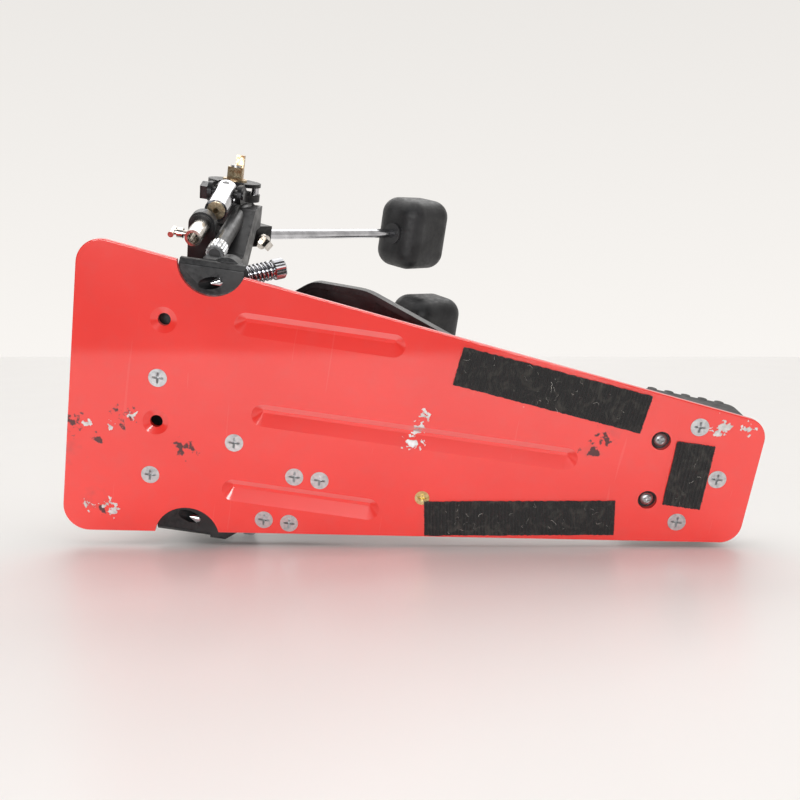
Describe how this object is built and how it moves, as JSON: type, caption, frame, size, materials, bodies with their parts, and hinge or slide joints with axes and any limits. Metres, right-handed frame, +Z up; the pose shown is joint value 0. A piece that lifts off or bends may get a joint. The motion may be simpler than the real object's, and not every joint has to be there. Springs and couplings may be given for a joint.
{
  "type": "bass drum pedal",
  "caption": "Double-beater kick drum pedal on a tapered base plate: footboard, chain wheel, hex axle, posts, return spring, hoop clamp and a universal joint for a second pedal.",
  "frame": {"origin": "centre of the bottom of the whole object's box at rest, in the plane of the hook strips", "axes": "+Y along the base plate towards the heel, +Z up, +X towards the side with the universal joint (the player's left)"},
  "size_m": [0.2046, 0.352, 0.2526],
  "materials": {
    "red_enamel": "gloss powder coat",
    "hook_tape": "hook tape",
    "black_screw": "black oxide",
    "black_board": "semi-gloss black",
    "gunmetal": "dark grey",
    "heel_rubber": "matte ribbed",
    "yellow_zinc": "yellow zinc plated",
    "zinc": "zinc plated",
    "black_cast": "satin black",
    "chrome": "polished",
    "nickel": "nickel plated",
    "steel": "brushed",
    "chain_steel": "oiled",
    "brass": "worn",
    "bronze": "sintered bronze",
    "rubber": "matte",
    "black_plastic": "moulded",
    "hub_alloy": "satin"
  },
  "bodies": {
    "base": {"base_plate": "red_enamel", "velcro_left": "hook_tape", "velcro_right": "hook_tape", "velcro_heel": "hook_tape", "plate_screws": "zinc", "zinc_screw": "yellow_zinc", "heel_block_screws": "steel", "tower_bridge": "black_cast", "bridge_screws": "black_screw", "left_post": "black_cast", "right_post": "black_cast", "axle_bearings": "steel", "stay_rod": "gunmetal", "stay_nut": "zinc", "clamp_base": "black_cast", "clamp_pin": "steel", "hinge_block": "black_cast", "heel_pin": "steel", "heel_plate": "heel_rubber", "spring_eyebolt": "steel", "spring_nuts": "zinc"},
    "main_shaft": {"main_axle": "steel", "axle_collar": "chrome", "drive_cam": "hub_alloy", "chain_wrap": "chain_steel", "main_hub": "black_cast", "main_hub_screw": "nickel", "spring_rocker": "black_cast"},
    "main_beater": {"main_rod": "chrome", "main_head": "rubber", "main_head_core": "black_plastic"},
    "slave_shaft": {"slave_axle": "steel", "slave_bush": "bronze", "slave_hub": "black_cast", "slave_hub_screw": "nickel", "linkage_hub": "black_cast", "linkage_plate": "black_cast", "linkage_pins": "chrome", "linkage_bolt": "brass"},
    "slave_beater": {"slave_rod": "chrome", "slave_head": "rubber", "slave_head_core": "black_plastic"},
    "joint_cross": {"link_cross": "black_screw"},
    "joint_sleeve": {"link_sleeve": "chrome", "link_bush": "bronze"},
    "pedal_board": {"footboard": "black_board", "toe_clip": "steel", "toe_pin": "steel", "toe_clip_screws": "black_screw"},
    "chain": {"chain_run": "chain_steel"},
    "spring_hook": {"spring_stirrup": "steel", "return_spring": "steel"},
    "hoop_jaw": {"clamp_jaw": "black_cast"},
    "wing_screw": {"clamp_screw": "chrome"},
    "spur_left": {"left_spur": "chrome", "left_spur_spring": "chrome"},
    "spur_right": {"right_spur": "chrome", "right_spur_spring": "chrome"},
    "tube": {"rest_tube": "nickel"},
    "tube_lock": {"tube_screw": "nickel"}
  },
  "joints": [
    {"name": "main_swing", "type": "hinge", "parent": "base", "child": "main_shaft", "pos_m": [-0.0151, -0.1175, 0.0998], "axis": [1, 0, 0], "range_deg": [0, 50], "stiffness_Nm_per_rad": 0.5, "springref_deg": -11.46},
    {"name": "board_hinge", "type": "hinge", "parent": "base", "child": "pedal_board", "pos_m": [-0.0151, 0.108, 0.0188], "axis": [1, 0, 0], "range_deg": [0, 5.15]},
    {"name": "chain_pivot", "type": "hinge", "parent": "pedal_board", "child": "chain", "pos_m": [-0.0271, -0.14345, 0.07917], "axis": [1, 0, 0], "range_deg": [-11.2, 0]},
    {"name": "spring_lift", "type": "slide", "parent": "base", "child": "spring_hook", "axis": [0, 0, 1], "range_m": [0, 0.0121], "deforming": ["return_spring"]},
    {"name": "main_beater_slide", "type": "slide", "parent": "main_shaft", "child": "main_beater", "axis": [0, 0.7373, 0.6756], "range_m": [0, 0.01]},
    {"name": "slave_swing", "type": "hinge", "parent": "base", "child": "slave_shaft", "pos_m": [-0.0151, -0.1175, 0.0998], "axis": [1, 0, 0], "range_deg": [0, 50]},
    {"name": "slave_beater_slide", "type": "slide", "parent": "slave_shaft", "child": "slave_beater", "axis": [0, 0.6347, 0.7727], "range_m": [0, 0.01]},
    {"name": "cross_swing", "type": "hinge", "parent": "slave_shaft", "child": "joint_cross", "pos_m": [0.08347, -0.1175, 0.07335], "axis": [0, -1, 0], "range_deg": [0, 75]},
    {"name": "sleeve_swing", "type": "hinge", "parent": "joint_cross", "child": "joint_sleeve", "pos_m": [0.08347, -0.1175, 0.07335], "axis": [0.9579, 0, -0.287], "range_deg": [-20, 20]},
    {"name": "jaw_tilt", "type": "hinge", "parent": "base", "child": "hoop_jaw", "pos_m": [-0.0296, -0.146, 0.0238], "axis": [1, 0, 0], "range_deg": [-6, 6]},
    {"name": "wing_travel", "type": "slide", "parent": "hoop_jaw", "child": "wing_screw", "axis": [0, 0, -1], "range_m": [-0.0023, 0.0023]},
    {"name": "left_spur_travel", "type": "slide", "parent": "base", "child": "spur_left", "axis": [-0.2404, -0.8314, -0.5009], "range_m": [0, 0.007], "deforming": ["left_spur_spring"]},
    {"name": "right_spur_travel", "type": "slide", "parent": "base", "child": "spur_right", "axis": [0.2404, -0.8314, -0.5009], "range_m": [0, 0.007], "deforming": ["right_spur_spring"]},
    {"name": "tube_travel", "type": "slide", "parent": "base", "child": "tube", "axis": [0.208, 0, 0.9781], "range_m": [-0.006, 0.001]},
    {"name": "tube_lock_turn", "type": "hinge", "parent": "tube", "child": "tube_lock", "pos_m": [0.06594, -0.1225, 0.02669], "axis": [0, -1, 0], "range_deg": [-180, 180]}
  ],
  "couplings": [
    {"joint": "board_hinge", "follows": "main_swing", "ratio": 0.1024},
    {"joint": "chain_pivot", "follows": "main_swing", "ratio": -0.2175},
    {"joint": "spring_lift", "follows": "main_swing", "m_per_rad": 0.01356},
    {"joint": "wing_travel", "follows": "jaw_tilt", "m_per_rad": 0.0216}
  ]
}
